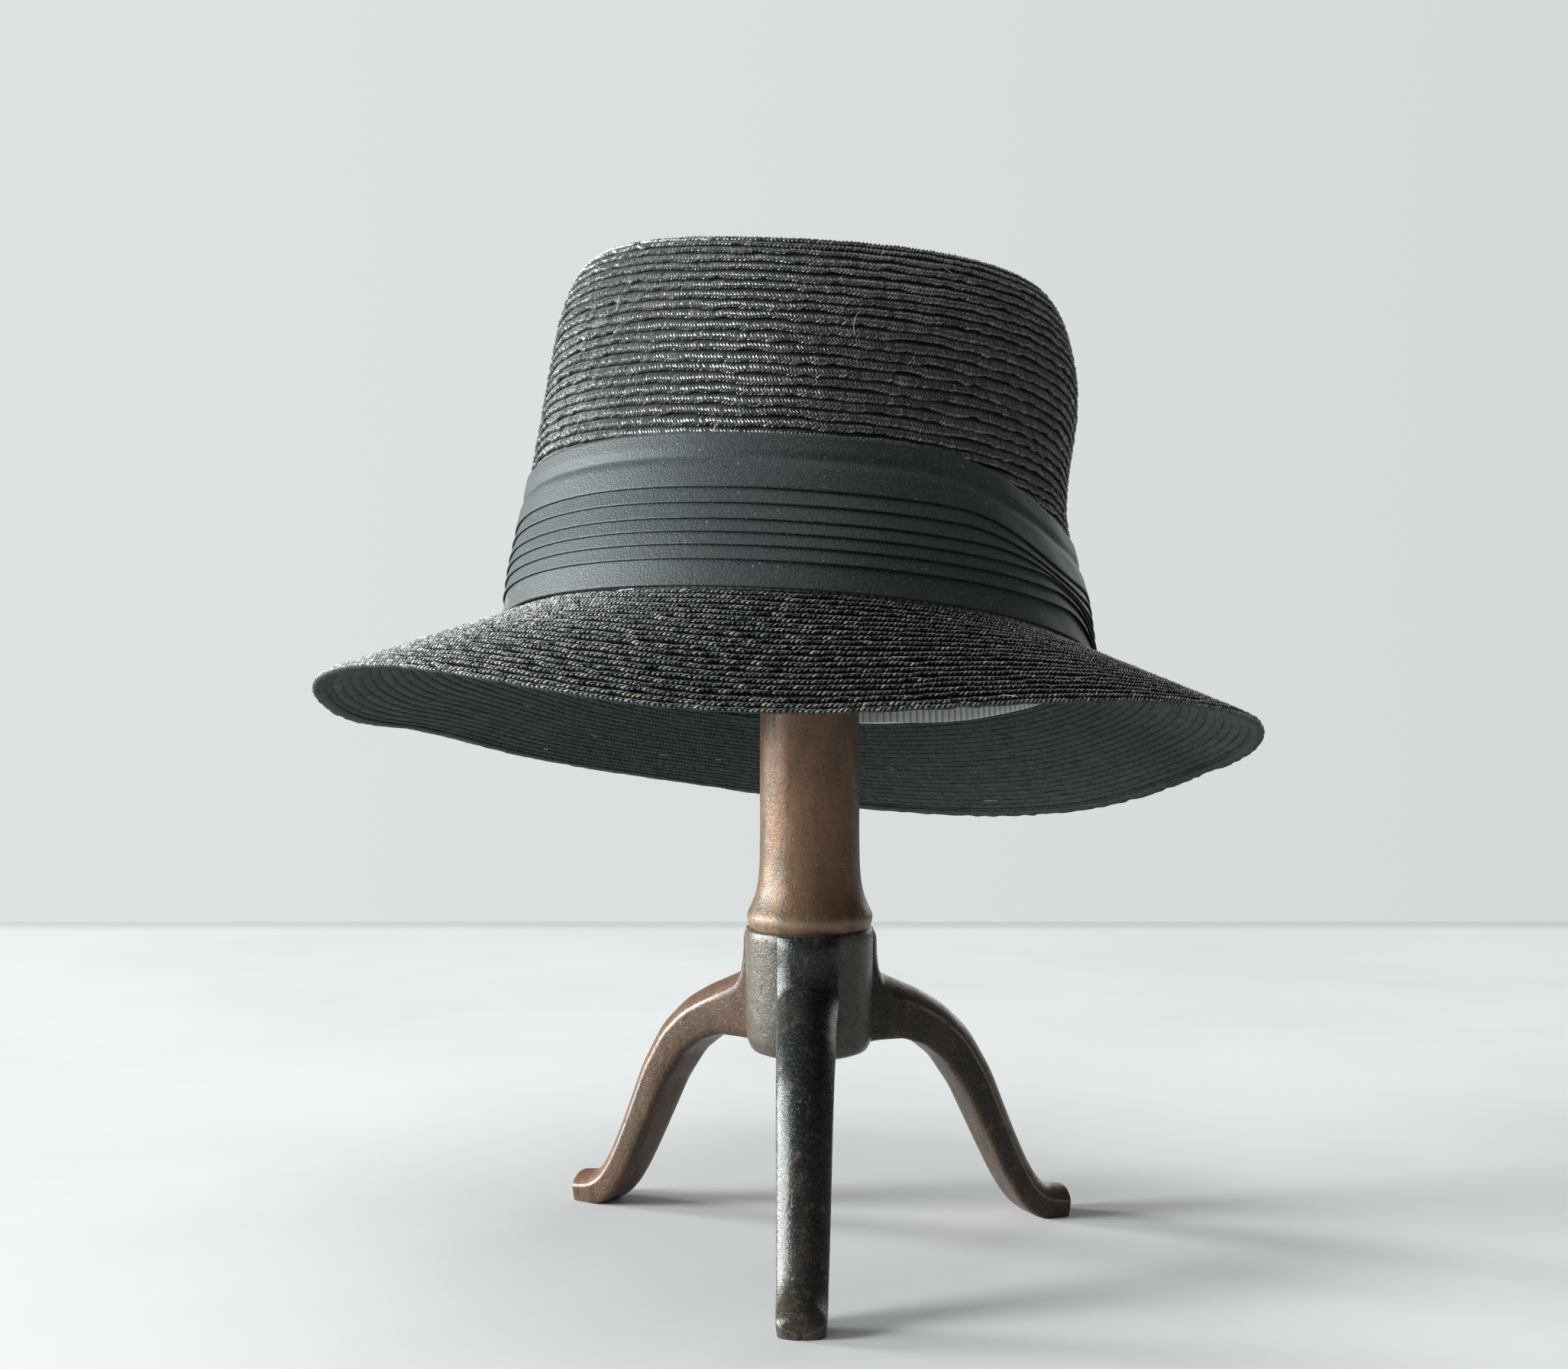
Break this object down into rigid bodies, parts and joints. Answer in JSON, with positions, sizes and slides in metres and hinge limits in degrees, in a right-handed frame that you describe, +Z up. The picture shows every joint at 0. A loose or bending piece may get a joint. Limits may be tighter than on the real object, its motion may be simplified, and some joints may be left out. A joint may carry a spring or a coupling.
{
  "type": "pork pie hat on tripod stand",
  "caption": "Black sewn-braid straw hat with a sunk flat crown, sloping brim and draped pleated band, resting on a round-post iron tripod stand.",
  "frame": {"origin": "on the floor under the middle of the whole outline, which is the middle of the brim", "axes": "+Z up, -Y the way the hat faces, +X the wearer's left"},
  "size_m": [0.2676, 0.307, 0.2924],
  "materials": {
    "straw": "black lacquered straw braid, sewn in overlapping rows",
    "crepe": "matt charcoal crepe, laid in pleats",
    "ribbon": "pale grey ribbed ribbon",
    "iron": "brown-black worn patina, satin"
  },
  "bodies": {
    "root": {"crown_side": "straw", "crown_tip": "straw", "brim": "straw", "hatband": "crepe", "sweatband": "ribbon", "stand_base": "iron", "stand_post": "iron"}
  },
  "joints": []
}
